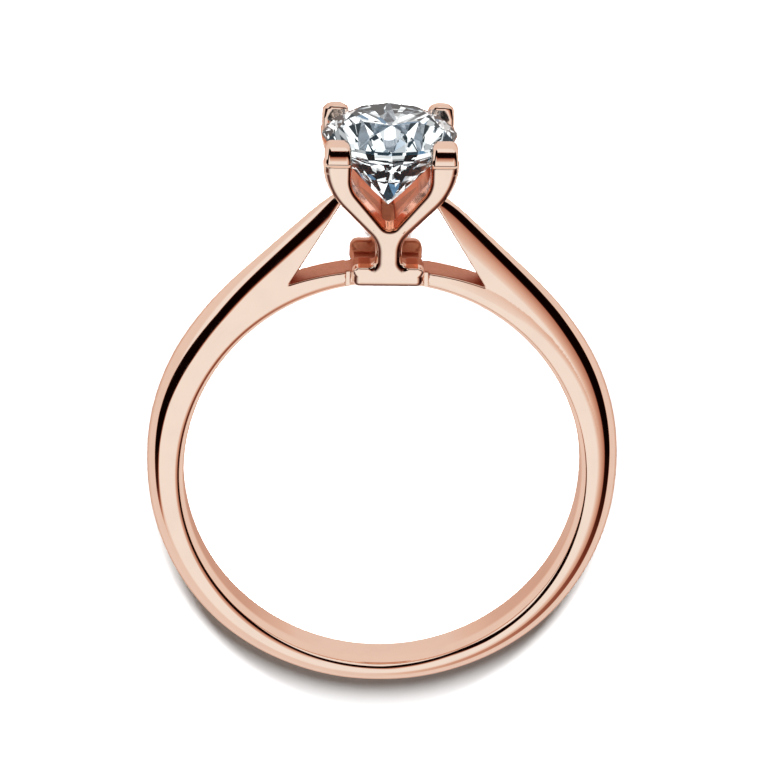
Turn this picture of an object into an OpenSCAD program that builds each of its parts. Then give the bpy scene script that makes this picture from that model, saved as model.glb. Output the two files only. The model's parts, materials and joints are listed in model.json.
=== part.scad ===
// A solitaire ring that lies on its side. Its domed band rises into cathedral shoulders
// with a window under each, its head is two Y-shaped plates with four claws, and the
// claws hold one round brilliant-cut stone.
// Every piece is drawn with x across the ring, y from the finger hole's centre towards
// the stone and z along the finger. The whole ring is then tipped back until it rests
// on the claw side of one plate and on the edge of the band.

/* [Finger hole] */
// Radius of the hole's straight wall
hole_r = 8.5; // [8.2:0.1:9]
// Growth of the radius from the straight wall to each face of the band
flare = 0.32; // [0.25:0.01:0.4]
// Length of the straight wall along the finger
wall_len = 1.2; // [1:0.05:1.4]

/* [Band] */
// Width at the bottom of the band
band_w = 2.7; // [2.5:0.05:3]
// Width at the sides
side_w = 2.6; // [2.4:0.05:2.8]
// Width of the bridge under the head
bridge_w = 1.92; // [1.8:0.02:2]
// Thickness at the bottom, from the hole to the crown of the dome
bottom_t = 1.18; // [1:0.02:1.3]
// Thickness at the sides
side_t = 1.56; // [1.4:0.02:1.7]
// Thickness of the bridge at its middle
bridge_t = 0.66; // [0.6:0.01:0.75]
// Thickness of the bridge where it meets the shoulders
bridge_end_t = 0.9; // [0.85:0.01:0.95]
// Width of the seams that part the bridge from the head's feet
seam_w = 0.19; // [0.1:0.01:0.25]
// Depth of those seams
seam_d = 0.24; // [0.1:0.01:0.3]

/* [Shoulders] */
// Height over the hole's centre where the two crown lines would meet
crown_peak = 14.55; // [14.4:0.05:14.8]
// Fall of the crown line for each unit outwards
crown_fall = 0.94; // [0.9:0.01:0.98]
// Height over the hole's centre where the two underside lines would meet
under_peak = 15.07; // [15:0.01:15.2]
// Fall of the underside line for each unit outwards
under_fall = 1.6; // [1.58:0.01:1.64]

/* [Head plates] */
// Height of the plates' foot line over the hole's centre
foot_y = 8.7; // [8.65:0.01:8.8]
// Distance of each plate's outer face from the middle at the foot line
foot_z = 1.97; // [1.9:0.01:2.1]
// Lean of each plate away from the middle, in degrees
plate_lean = 11; // [10:0.25:12]
// Thickness of each plate
plate_t = 1.1; // [1.0:0.02:1.15]
// Half width of the foot
foot_half = 1.54; // [1.5:0.01:1.6]
// Height of the foot
foot_h = 1.01; // [0.95:0.01:1.05]
// Half width of the stem
stem_half = 0.56; // [0.5:0.01:0.6]
// Height of the crotch between the arms, along the plate from its foot line
crotch_v = 2.74; // [2.7:0.01:2.8]
// Height of the ledge where the arms end and the claws begin
ledge_v = 5.75; // [5.7:0.01:5.8]
// Half of the greatest width across the arms
arm_half = 2.86; // [2.84:0.01:2.9]
// Half of the gap between the arms at the ledge
gap_half = 1.67; // [1.64:0.01:1.7]

/* [Claws and rails] */
// Radius of each claw
claw_r = 0.54; // [0.5:0.01:0.56]
// Height of the centre of a front claw's round tip over the hole's centre
claw_y = 14.76; // [14.7:0.01:14.85]
// How much higher the two claws at the back stand
rear_rise = 0.34; // [0:0.01:0.4]
// Radius of the two rails that join the plates
rail_r = 0.42; // [0.38:0.01:0.44]
// Distance of each rail from the middle
rail_x = 1.65; // [1.6:0.01:1.7]
// Height of the rails over the hole's centre
rail_y = 12.6; // [12.55:0.01:12.65]
// Half thickness of the web under each rail
web_r = 0.3; // [0.25:0.01:0.35]

/* [Stone] */
// Diameter of the stone
stone_d = 5.72; // [5.7:0.01:5.76]
// Height of the middle of its girdle over the hole's centre
girdle_y = 14.9; // [14.86:0.01:14.94]
// Thickness of the girdle
girdle_t = 0.14; // [0.1:0.01:0.18]
// Height of the crown, from the girdle to the table
stone_crown = 0.82; // [0.75:0.01:0.9]
// Depth of the pavilion, from the girdle to the point
pavilion = 3.04; // [2.9:0.01:3.06]
// Width of the table as a share of the stone's diameter
table_share = 0.57; // [0.53:0.01:0.6]
// Gap between the stone and the claws
stone_gap = 0.04; // [0.02:0.01:0.06]

/* [Hidden] */
$fn = 96;

edge_r = hole_r + flare;
wall_half = wall_len / 2;
stone_r = stone_d / 2;
table_r = stone_r * table_share;

// The windows' outer corners, where the underside lines cross a circle round the hole,
// and the arc of the bridge's top that runs through both corners
corner_r = hole_r + bridge_end_t;
under_sum = 1 + pow(under_fall, 2);
corner_x = (under_peak * under_fall - sqrt(pow(corner_r, 2) * under_sum - pow(under_peak, 2))) / under_sum;
corner_y = under_peak - under_fall * corner_x;
bridge_top = hole_r + bridge_t;
bridge_sag = bridge_top - corner_y;
bridge_arc_r = (pow(corner_x, 2) + pow(bridge_sag, 2)) / (2 * bridge_sag);

// The ledge's place over the hole's centre and along the finger
ledge_y = foot_y + ledge_v * cos(plate_lean);
ledge_z = foot_z + ledge_v * sin(plate_lean);

// The ring rests on the ledge's outer edge and on the bottom edge of the band
rest_tilt = atan((ledge_z - band_w / 2) / (ledge_y + edge_r));
rest_lift = edge_r * sin(rest_tilt) + band_w / 2 * cos(rest_tilt);

// The lowest and highest points across the floor are the band's crown and the table
table_y = girdle_y + girdle_t / 2 + stone_crown;
reach_top = table_y * cos(rest_tilt) + table_r * sin(rest_tilt);
reach_bottom = (hole_r + bottom_t) * cos(rest_tilt);
centre_shift = (reach_top - reach_bottom) / 2;

gold = [0.90, 0.66, 0.55];
ice = [0.86, 0.91, 0.95];

// Points on an arc about (x, y)
function arc(x, y, r, from, to, steps) =
    [for (i = [0 : steps]) let (a = from + (to - from) * i / steps) [x + r * cos(a), y + r * sin(a)]];

// Smooth curve through a table: each row starts with its angle, and the first and last
// rows only set the slope of the curve at their neighbours
function row_before(rows, a) = max([for (i = [1 : len(rows) - 3]) if (rows[i][0] <= a || i == 1) i]);
function row_slope(rows, i, col) =
    (rows[i + 1][col] - rows[i - 1][col]) / (rows[i + 1][0] - rows[i - 1][0]);
function ease(p, q, mp, mq, span, t) =
    p * (1 + 2 * t) * pow(1 - t, 2) + q * t * t * (3 - 2 * t)
    + span * (mp * t * pow(1 - t, 2) - mq * t * t * (1 - t));
function curve_at(rows, a, col) =
    let (
        i = row_before(rows, a),
        span = rows[i + 1][0] - rows[i][0],
        t = (a - rows[i][0]) / span
    )
    ease(rows[i][col], rows[i + 1][col], row_slope(rows, i, col), row_slope(rows, i + 1, col), span, t);
function smooth_step(t) = let (c = min(1, max(0, t))) c * c * (3 - 2 * c);

// Radius of a straight line that crosses the middle at peak, seen at angle a from the
// bottom of the band
function line_radius(peak, fall, a) = peak / (fall * sin(a) - cos(a));

// Angle from the bottom where the crown becomes the shoulder's straight line
line_start = 145;
// Radius that the crown keeps over the bridge, where the head's opening is cut
crown_limit = 13.1;

// Columns: angle from the bottom, thickness from the hole to the crown
THICKNESS = 1;
crown_rows = [
    [-45, 1.46],
    [0, bottom_t],
    [45, 1.46],
    [90, side_t],
    [110, 1.74],
    [130, 1.89],
    [line_start, line_radius(crown_peak, crown_fall, line_start) - hole_r],
    [line_start + 5, line_radius(crown_peak, crown_fall, line_start + 5) - hole_r],
];

// Columns: angle from the bottom, width along the finger
WIDTH = 1;
width_rows = [
    [-60, 2.66],
    [0, band_w],
    [60, 2.66],
    [90, side_w],
    [125, 2.3],
    [152, 2.02],
    [180, bridge_w],
    [208, 2.02],
];

function crown_radius(a) =
    a < line_start
    ? hole_r + curve_at(crown_rows, a, THICKNESS)
    : min(crown_limit, line_radius(crown_peak, crown_fall, a));
function half_width(a) = curve_at(width_rows, a, WIDTH) / 2;

// Angle of each window's outer corner from the bottom
window_a = 180 - atan(corner_x / corner_y);
// Angle where the band's sides start to become flat below the dome
flat_start = 95;
// Least height of the flat side, least height of the dome over it, and how far each
// side leans in for each unit of its height
flat_least = 0.03;
dome_least = 0.4;
side_lean = 0.25;

// Radius at which the band's flat side ends and its dome begins
function side_radius(a) =
    let (
        goal = a < window_a ? corner_r : line_radius(under_peak, under_fall, a),
        blend = smooth_step((a - flat_start) / (window_a - flat_start))
    )
    min(edge_r + flat_least + (goal - edge_r) * blend, crown_radius(a) - dome_least);

// Cross-section of the band as [radius, z] points: the dome, then the rounded edge of
// the hole, whose middle lies inside the straight wall that is bored later
dome_steps = 14;
bore_allowance = 0.1;
flare_share = 0.35;
function dome_points(a) =
    let (
        side = side_radius(a),
        rise = crown_radius(a) - side,
        w = half_width(a) - side_lean * (min(side, corner_r) - edge_r)
    )
    [for (i = [0 : dome_steps]) let (t = 180 * i / dome_steps) [side + rise * sin(t), w * cos(t)]];
function hole_points(a) =
    let (
        w = half_width(a),
        mid = (wall_half + w) / 2,
        start = wall_half - bore_allowance * (mid - wall_half) / (flare_share * flare)
    )
    [
        [edge_r, -w],
        [hole_r + flare_share * flare, -mid],
        [hole_r - bore_allowance, -start],
        [hole_r - bore_allowance, start],
        [hole_r + flare_share * flare, mid],
        [edge_r, w],
    ];
function section(a) = concat(dome_points(a), hole_points(a));

// The band as one closed loop of sections
stations = 90;
module band_loft() {
    count = dome_steps + 7;
    angles = [for (i = [0 : stations - 1]) 360 * i / stations];
    points = [
        for (a = angles)
            for (p = section(a > 180 ? 360 - a : a))
                [p[0] * sin(a), -p[0] * cos(a), p[1]]
    ];
    faces = [
        for (i = [0 : stations - 1], j = [0 : count - 1])
            let (
                next = (i + 1) % stations,
                up = (j + 1) % count,
                a = i * count + j,
                b = i * count + up,
                c = next * count + up,
                d = next * count + j
            )
            each [[a, c, b], [a, d, c]]
    ];
    polyhedron(points, faces);
}

// Everything between the shoulders, above the bridge: the two windows and the head's place
opening_top = 18;
opening_depth = 6;
bridge_steps = 36;
module shoulder_opening() {
    half_arc = asin(corner_x / bridge_arc_r);
    tip_y = under_peak - under_fall * rail_x;
    outline = concat(
        arc(0, bridge_top - bridge_arc_r, bridge_arc_r, 90 - half_arc, 90 + half_arc, bridge_steps),
        [[-rail_x, tip_y], [-rail_x, opening_top], [rail_x, opening_top], [rail_x, tip_y]]
    );
    linear_extrude(height = opening_depth, center = true) polygon(outline);
}

seam_offset = 0.02;
module bridge_seams() {
    for (side = [-1, 1], face = [-1, 1])
        translate([side * (foot_half + seam_w / 2 + seam_offset), bridge_top, face * bridge_w / 2])
            cube([seam_w, 4 * bridge_t, 2 * seam_d], center = true);
}

module band() {
    difference() {
        band_loft();
        shoulder_opening();
        bridge_seams();
        cylinder(h = 2 * band_w, r = hole_r, center = true);
    }
}

// Outline of a head plate, from its foot line upwards: foot, stem, and two arms that
// curve up to the ledge. The right half is drawn and mirrored.
foot_corner_r = 0.34;
foot_fillet_r = 0.25;
stem_top_v = 1.64;
stem_flare_r = 1.23;
arm_outer_r = 3.13;
arm_outer_turn = 42.5;
arm_inner_r = 1.29;
arm_inner_turn = 37.5;
crotch_r = 0.37;
foot_drop = 0.07;

function last(list) = list[len(list) - 1];
// Height at which an arc that ends upright at edge_x meets the slanting line from p
function upright_height(p, edge_x, r, turn) =
    r * sin(turn) + p[1] + (edge_x - r * (1 - cos(turn)) - p[0]) / tan(turn);

function outer_edge() =
    let (
        foot_top = foot_h - foot_drop,
        flare_arc = arc(stem_half + stem_flare_r, stem_top_v, stem_flare_r, 180, 180 - arm_outer_turn, 6),
        arm_v = upright_height(last(flare_arc), arm_half, arm_outer_r, arm_outer_turn),
        top_turn = asin((ledge_v - arm_v) / arm_outer_r)
    )
    concat(
        arc(foot_half - foot_corner_r, foot_corner_r - foot_drop, foot_corner_r, -90, 0, 4),
        arc(foot_half - foot_corner_r, foot_top - foot_corner_r, foot_corner_r, 0, 90, 4),
        arc(stem_half + foot_fillet_r, foot_top + foot_fillet_r, foot_fillet_r, 270, 180, 4),
        flare_arc,
        arc(arm_half - arm_outer_r, arm_v, arm_outer_r, -arm_outer_turn, top_turn, 8)
    );
function inner_edge() =
    let (
        crotch = arc(0, crotch_v + crotch_r, crotch_r, -90, -arm_inner_turn, 5),
        arm_v = upright_height(last(crotch), gap_half, arm_inner_r, arm_inner_turn),
        bend = arc(gap_half - arm_inner_r, arm_v, arm_inner_r, -arm_inner_turn, 0, 5)
    )
    concat(crotch, bend, [[gap_half, ledge_v]]);
function mirrored(points) = [for (i = [len(points) - 1 : -1 : 0]) [-points[i][0], points[i][1]]];

module plate_outline() {
    inner = inner_edge();
    half = concat(outer_edge(), [for (i = [len(inner) - 1 : -1 : 1]) inner[i]]);
    polygon(concat(half, [inner[0]], mirrored(half)));
}

module head_plate() {
    translate([0, foot_y, foot_z])
        rotate([plate_lean, 0, 0])
            translate([0, 0, -plate_t])
                linear_extrude(height = plate_t)
                    plate_outline();
}

// Turns the z axis so that it runs from one point to another
module along(p, q) {
    d = q - p;
    translate(p)
        rotate([0, acos(d[2] / norm(d)), atan2(d[1], d[0])])
            children();
}

// Each claw stands in the middle of an arm's top and leans in a little to its tip
arm_middle = (arm_half + gap_half) / 2;
claw_root = 0.35;
claw_setback = 0.16;
claw_lean = 0.07;
module claw(rise) {
    root_z = ledge_z - claw_setback - claw_r;
    root = [arm_middle, ledge_y - claw_root, root_z];
    tip = [arm_middle - claw_lean, claw_y + rise, root_z - claw_lean];
    along(root, tip)
        rotate_extrude()
            polygon(concat([[0, 0], [claw_r, 0]], arc(0, norm(tip - root), claw_r, 0, 90, 8)));
}

// Rods that join the two plates behind the shoulders' tips. Each has a web that runs down
// under the stone and ends beside the crotch.
rail_half = 1.7;
web_x = 0.55;
web_y = 11.45;
module rail() {
    reach = [0, 0, rail_half];
    middle = [rail_x, rail_y, 0];
    along(middle - reach, middle + reach) cylinder(h = 2 * norm(reach), r = rail_r);
    slope = atan2(rail_y - web_y, rail_x - web_x);
    upper = arc(rail_x, rail_y, web_r, slope - 90, slope + 90, 8);
    lower = arc(web_x, web_y, web_r, slope + 90, slope + 270, 8);
    linear_extrude(height = 2 * rail_half, center = true) polygon(concat(upper, lower));
}

// Space that the stone takes in the claws, with a gap all round
module stone_seat() {
    low = girdle_y - girdle_t / 2;
    high = girdle_y + girdle_t / 2;
    rotate([-90, 0, 0])
        rotate_extrude()
            polygon([
                [0, low - pavilion - stone_gap * 2],
                [stone_r + stone_gap, low - stone_gap / 2],
                [stone_r + stone_gap, high + stone_gap / 2],
                [table_r, table_y + stone_gap * 1.5],
                [0, table_y + stone_gap * 1.5],
            ]);
}

// Block between the feet that joins them to the bridge
base_half = 1.4;
base_z = 1.2;
base_low = 8.64;
base_high = 9.32;
module head() {
    difference() {
        union() {
            for (face = [0, 1])
                mirror([0, 0, face]) {
                    head_plate();
                    claw(face * rear_rise);
                    mirror([1, 0, 0]) claw(face * rear_rise);
                }
            rail();
            mirror([1, 0, 0]) rail();
            translate([-base_half, base_low, -base_z])
                cube([2 * base_half, base_high - base_low, 2 * base_z]);
        }
        stone_seat();
    }
}

// Round brilliant cut: eight main facets round the crown and eight round the pavilion,
// split by star, upper girdle and lower girdle facets
star_reach = 0.48;
lower_reach = 0.24;
half_turn = 22.5;
function facet_ring(r, y, start) =
    [for (k = [0 : 7]) let (a = start + 45 * k) [r * cos(a), y, r * sin(a)]];

module brilliant() {
    high = girdle_y + girdle_t / 2;
    low = girdle_y - girdle_t / 2;
    star_x = table_r + star_reach * (stone_r - table_r);
    star_y = table_y - star_reach * stone_crown;
    lower_x = lower_reach * stone_r;
    lower_y = low - (1 - lower_reach) * pavilion;
    points = concat(
        facet_ring(table_r, table_y, 0),
        facet_ring(star_x / cos(half_turn), star_y, half_turn),
        facet_ring(stone_r, high, 0),
        facet_ring(stone_r, high, half_turn),
        facet_ring(stone_r, low, 0),
        facet_ring(stone_r, low, half_turn),
        facet_ring(lower_x / cos(half_turn), lower_y, half_turn),
        [[0, low - pavilion, 0]]
    );
    // First index of each ring of points
    table = 0;
    star = 8;
    upper_main = 16;
    upper_half = 24;
    lower_main = 32;
    lower_half = 40;
    break_ring = 48;
    culet = 56;
    faces = concat(
        [[for (k = [0 : 7]) table + k]],
        [for (k = [0 : 7])
            let (n = (k + 1) % 8, p = (k + 7) % 8)
            each [
                [table + k, star + k, table + n],
                [table + k, star + p, upper_main + k, star + k],
                [star + k, upper_main + k, upper_half + k],
                [star + k, upper_half + k, upper_main + n],
                [upper_main + k, lower_main + k, lower_half + k, upper_half + k],
                [upper_half + k, lower_half + k, lower_main + n, upper_main + n],
                [lower_main + k, break_ring + k, lower_half + k],
                [lower_half + k, break_ring + k, lower_main + n],
                [lower_main + k, break_ring + p, culet, break_ring + k],
            ]]
    );
    polyhedron(points, faces);
}

// Lays the upright ring back to rest on the floor
module at_rest() {
    translate([0, -centre_shift, rest_lift])
        rotate([rest_tilt, 0, 0])
            children();
}

module ring() {
    color(gold)
        at_rest() {
            band();
            head();
        }
}

module diamond() {
    color(ice)
        at_rest()
            brilliant();
}

ring();
diamond();
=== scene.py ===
"""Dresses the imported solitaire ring: polished rose gold, meshed finely with its rounded
edges, a clear brilliant-cut stone, and the plain white studio that it is seen in."""

import json
import math

import bpy
import numpy as np
from mathutils import Matrix, Vector


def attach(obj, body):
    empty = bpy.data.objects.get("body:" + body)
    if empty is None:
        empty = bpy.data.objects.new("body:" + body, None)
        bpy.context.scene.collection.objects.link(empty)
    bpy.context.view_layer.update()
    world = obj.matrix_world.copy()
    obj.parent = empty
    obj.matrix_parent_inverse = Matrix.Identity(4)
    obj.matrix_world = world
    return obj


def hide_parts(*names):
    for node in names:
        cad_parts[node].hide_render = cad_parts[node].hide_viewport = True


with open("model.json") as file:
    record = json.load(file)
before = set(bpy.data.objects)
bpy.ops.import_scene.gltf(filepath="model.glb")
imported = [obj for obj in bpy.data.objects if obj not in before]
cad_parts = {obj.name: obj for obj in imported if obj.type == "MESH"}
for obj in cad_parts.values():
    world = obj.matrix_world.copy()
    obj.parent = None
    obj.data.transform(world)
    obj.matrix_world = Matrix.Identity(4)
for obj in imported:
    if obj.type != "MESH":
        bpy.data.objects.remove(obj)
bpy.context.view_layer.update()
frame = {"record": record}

# Sizes in millimetres and angles in degrees, in the ring's own axes: x across the ring,
# y from the finger hole's centre towards the stone, z along the finger
MM = 0.001
hole_mount = frame["record"]["mounts"][0]
HOLE_R = hole_mount["dims"]["r_mm"]
FLARE = 0.32
WALL_HALF = 0.6
EDGE_R = HOLE_R + FLARE

# The ring as it lies: the finger hole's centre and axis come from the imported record
hole_centre = np.array(hole_mount["pos_m"]) / MM
finger_axis = np.array(hole_mount["axis"])
finger_axis = finger_axis / np.linalg.norm(finger_axis)
across_axis = np.array([1.0, 0.0, 0.0])
stone_axis = np.cross(finger_axis, across_axis)
ring_axes = np.stack([across_axis, stone_axis, finger_axis])


def to_row(points):
    """Points in the ring's axes, in millimetres, as points in the row frame, in metres."""
    return (np.asarray(points) @ ring_axes + hole_centre) * MM


# Curves that follow the angle round the ring, counted from the bottom of the band

CROWN_PEAK = 14.55
CROWN_FALL = 0.94
UNDER_PEAK = 15.07
UNDER_FALL = 1.6
CROWN_LIMIT = 13.1
LINE_START = 146


def crown_line(angle):
    """Radius of the shoulders' straight crown line."""
    a = np.radians(angle)
    return CROWN_PEAK / (CROWN_FALL * np.sin(a) - np.cos(a))


def smooth_curve(rows, blur):
    """A smooth function of the angle through rows of (angle, value)."""
    step = 0.1
    spread = np.arange(-60, 240, step)
    folded = np.abs((spread + 180) % 360 - 180)
    angles, values = zip(*rows)
    sampled = np.interp(folded, angles, values)
    reach = np.arange(-4 * blur, 4 * blur + step, step)
    kernel = np.exp(-0.5 * (reach / blur) ** 2)
    curve = np.convolve(sampled, kernel / kernel.sum(), mode="same")
    return lambda angle: np.interp(angle, spread, curve)


# Columns: angle, radius of the crown
crown_rows = [
    (0, 9.68), (23, 9.77), (45, 9.93), (70, 10.0), (90, 10.06),
    (100, 10.15), (110, 10.24), (120, 10.32), (130, 10.4), (140, 10.57),
]
crown_rows += [(a, crown_line(a)) for a in range(LINE_START, 171, 2)]
crown_radius = smooth_curve(crown_rows, 3)
# Columns: angle, half of the width along the finger
half_width = smooth_curve([(0, 1.35), (60, 1.33), (90, 1.3), (125, 1.15), (152, 1.01), (180, 0.96)], 6)
# Columns: angle, how far the sides lean in for each unit of height
side_lean = smooth_curve([(0, 0), (95, 0), (150, 0.25), (180, 0.25)], 6)
# Columns: angle, power of the section's curve: 2 is an ellipse, more is flatter sides
section_power = smooth_curve([(0, 2.0), (80, 2.0), (140, 2.6), (180, 2.6)], 8)

# The windows and the bridge
BRIDGE_TOP = HOLE_R + 0.66
CORNER_R = HOLE_R + 0.9
under_sum = 1 + UNDER_FALL ** 2
CORNER_X = (UNDER_PEAK * UNDER_FALL - math.sqrt(CORNER_R ** 2 * under_sum - UNDER_PEAK ** 2)) / under_sum
CORNER_Y = UNDER_PEAK - UNDER_FALL * CORNER_X
bridge_sag = BRIDGE_TOP - CORNER_Y
BRIDGE_ARC_R = (CORNER_X ** 2 + bridge_sag ** 2) / (2 * bridge_sag)

# The head
FOOT_Y = 8.7
FOOT_Z = 1.97
PLATE_LEAN = math.radians(11)
PLATE_T = 1.1
LEDGE_V = 5.75
FOOT_HALF = 1.54
STEM_HALF = 0.56
ARM_HALF = 2.86
GAP_HALF = 1.67
RAIL_R = 0.42
RAIL_X = 1.65
RAIL_Y = 12.6
RAIL_HALF = 1.7
WEB_R = 0.3
WEB_X = 0.55
WEB_Y = 11.45
LEDGE_Y = FOOT_Y + LEDGE_V * math.cos(PLATE_LEAN)
LEDGE_Z = FOOT_Z + LEDGE_V * math.sin(PLATE_LEAN)

# The stone
STONE_R = 2.86
TABLE_R = STONE_R * 0.57
GIRDLE_Y = 14.9
GIRDLE_T = 0.14
STONE_CROWN = 0.82
PAVILION = 3.04
TABLE_Y = GIRDLE_Y + GIRDLE_T / 2 + STONE_CROWN
SEAT_GAP = 0.03

# Radii of rounded edges and fillets
EDGE_ROUND = 0.1
SMALL_ROUND = 0.06
PLATE_OUTER_ROUND = 0.42
PLATE_INNER_ROUND = 0.24
FOOT_TOP_ROUND = 0.12
SEAM_ROUND = 0.03
HOLE_ROUND = 0.18
SOLDER_FILLET = 0.07


# Distance functions: each gives how far points lie outside a form, negative inside it


def rounded_max(a, b, r):
    """What two forms share, with edges of radius r."""
    return np.minimum(np.maximum(a, b), -r) + np.hypot(np.maximum(a + r, 0), np.maximum(b + r, 0))


def rounded_min(a, b, r):
    """Two forms together, with a fillet of radius r between them."""
    return -rounded_max(-a, -b, r)


# The slope that the band's distance is worked out with is never less than this
LEAST_SLOPE = 0.2


def band_distance(x, y, z):
    """The band's domed section, with the flared finger hole bored out."""
    r = np.hypot(x, y)
    angle = np.degrees(np.arctan2(x, -y))
    height = np.minimum(crown_radius(angle), CROWN_LIMIT) - EDGE_R
    t = np.maximum(r - EDGE_R, 0) / height
    half = half_width(angle)
    lean = side_lean(angle) * np.clip(r - EDGE_R, 0, CORNER_R - EDGE_R)
    power = section_power(angle)
    u = (np.abs(z) + lean) / half
    level = u ** 2 + t ** power - 1
    slope = np.hypot(2 * u / half, power * t ** (power - 1) / height)
    domed = level / np.maximum(slope, LEAST_SLOPE)
    rise = np.maximum(np.abs(z) - WALL_HALF, 0) / (half - WALL_HALF)
    bore = HOLE_R + FLARE * rise ** 2 - r
    return rounded_max(domed, bore, HOLE_ROUND)


def opening_distance(x, y):
    """The two windows and the head's place between the shoulders."""
    under_line = (y + UNDER_FALL * x - UNDER_PEAK) / math.sqrt(under_sum)
    shoulder = np.minimum(under_line, x - RAIL_X)
    bridge = BRIDGE_ARC_R - np.hypot(x, y - (BRIDGE_TOP - BRIDGE_ARC_R))
    return rounded_max(shoulder, bridge, SMALL_ROUND)


SEAM_X = FOOT_HALF + 0.115
SEAM_HALF = 0.095
SEAM_DEPTH = 0.24
SEAM_LOW = 8


def seam_distance(x, y, z):
    """The seams beside the head's feet, as grooves in the bridge."""
    wall = half_width(180) - SEAM_DEPTH
    return np.maximum(np.abs(x - SEAM_X) - SEAM_HALF, np.maximum(wall - np.abs(z), SEAM_LOW - y))


def line(p, q):
    """Part of an outline: its distance and side, which is negative to the left of p to q."""
    (px, py), (qx, qy) = p, q
    dx, dy = qx - px, qy - py
    length = math.hypot(dx, dy)
    dx, dy = dx / length, dy / length

    def measure(x, y):
        along = np.clip((x - px) * dx + (y - py) * dy, 0, length)
        away = np.hypot(x - px - along * dx, y - py - along * dy)
        side = (x - px) * dy - (y - py) * dx
        return away, side

    return measure


def arc(cx, cy, r, start, end):
    """Part of an outline on a circle, from one angle to another, with metal on its left."""
    middle = math.radians((start + end) / 2)
    half = math.radians(abs(end - start) / 2)
    turn = 1 if end > start else -1

    def measure(x, y):
        reach = np.hypot(x - cx, y - cy)
        off = (np.arctan2(y - cy, x - cx) - middle + math.pi) % (2 * math.pi) - math.pi
        near = middle + np.clip(off, -half, half)
        away = np.hypot(x - cx - r * np.cos(near), y - cy - r * np.sin(near))
        return away, turn * (reach - r)

    return measure


def head_outline():
    """The right half of a head plate's outline, run round with the metal on its left."""
    foot_low, foot_top = -0.07, 0.94
    corner, fillet = 0.34, 0.25
    stem_top, flare_r = 1.64, 1.23
    outer_r, outer_turn = 3.13, 42.5
    inner_r, inner_turn = 1.29, 37.5
    crotch_v, crotch_r = 2.74, 0.37
    beyond = LEDGE_V + 3

    def on(cx, cy, r, angle):
        return cx + r * math.cos(math.radians(angle)), cy + r * math.sin(math.radians(angle))

    def upright_height(p, edge_x, r, turn):
        """Height at which an arc that ends upright at edge_x meets the slanting line from p."""
        angle = math.radians(turn)
        return r * math.sin(angle) + p[1] + (edge_x - r * (1 - math.cos(angle)) - p[0]) / math.tan(angle)

    flare_end = on(STEM_HALF + flare_r, stem_top, flare_r, 180 - outer_turn)
    arm_v = upright_height(flare_end, ARM_HALF, outer_r, outer_turn)
    outer_start = on(ARM_HALF - outer_r, arm_v, outer_r, -outer_turn)
    crotch_end = on(0, crotch_v + crotch_r, crotch_r, -inner_turn)
    bend_v = upright_height(crotch_end, GAP_HALF, inner_r, inner_turn)
    bend_start = on(GAP_HALF - inner_r, bend_v, inner_r, -inner_turn)
    return [
        line((0, foot_low), (FOOT_HALF - corner, foot_low)),
        arc(FOOT_HALF - corner, foot_low + corner, corner, -90, 0),
        line((FOOT_HALF, foot_low + corner), (FOOT_HALF, foot_top - corner)),
        arc(FOOT_HALF - corner, foot_top - corner, corner, 0, 90),
        line((FOOT_HALF - corner, foot_top), (STEM_HALF + fillet, foot_top)),
        arc(STEM_HALF + fillet, foot_top + fillet, fillet, 270, 180),
        line((STEM_HALF, foot_top + fillet), (STEM_HALF, stem_top)),
        arc(STEM_HALF + flare_r, stem_top, flare_r, 180, 180 - outer_turn),
        line(flare_end, outer_start),
        arc(ARM_HALF - outer_r, arm_v, outer_r, -outer_turn, 0),
        line((ARM_HALF, arm_v), (ARM_HALF, beyond)),
        line((GAP_HALF, beyond), (GAP_HALF, bend_v)),
        arc(GAP_HALF - inner_r, bend_v, inner_r, 0, -inner_turn),
        line(bend_start, crotch_end),
        arc(0, crotch_v + crotch_r, crotch_r, -inner_turn, -90),
    ]


outline_parts = head_outline()
# How many of the parts are on the plate's outer side
OUTER_PARTS = 11
# Heights between which the foot's top edge is sharper than the others, and how soon
SHARP_LOW = 0.5
SHARP_HIGH = 1.6
SHARP_SPAN = 0.3
SHARP_X = STEM_HALF + 0.03
SHARP_X_SPAN = 0.25


def outline_distance(x, v):
    """Distance to a head plate's outline, and the rounding of its nearest edge."""
    best, side = outline_parts[0](x, v)
    foot_top = np.clip((v - SHARP_LOW) / SHARP_SPAN, 0, 1) * np.clip((SHARP_HIGH - v) / SHARP_SPAN, 0, 1)
    foot_top = foot_top * np.clip((x - SHARP_X) / SHARP_X_SPAN, 0, 1)
    rounding = PLATE_OUTER_ROUND + (FOOT_TOP_ROUND - PLATE_OUTER_ROUND) * foot_top
    for number, part in enumerate(outline_parts[1:], 1):
        away, part_side = part(x, v)
        nearer = away < best
        side = np.where(nearer, part_side, side)
        best = np.minimum(best, away)
        if number >= OUTER_PARTS:
            rounding = np.where(nearer, PLATE_INNER_ROUND, rounding)
    return np.where(side > 0, best, -best), rounding


def plate_distance(x, y, z):
    """The nearer head plate, which leans away from the middle."""
    lean_cos, lean_sin = math.cos(PLATE_LEAN), math.sin(PLATE_LEAN)
    v = (y - FOOT_Y) * lean_cos + (z - FOOT_Z) * lean_sin
    w = (z - FOOT_Z) * lean_cos - (y - FOOT_Y) * lean_sin
    outline, rounding = outline_distance(x, v)
    slab = rounded_max(outline, np.abs(w + PLATE_T / 2) - PLATE_T / 2, rounding)
    return rounded_max(slab, v - LEDGE_V, SMALL_ROUND)


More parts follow.
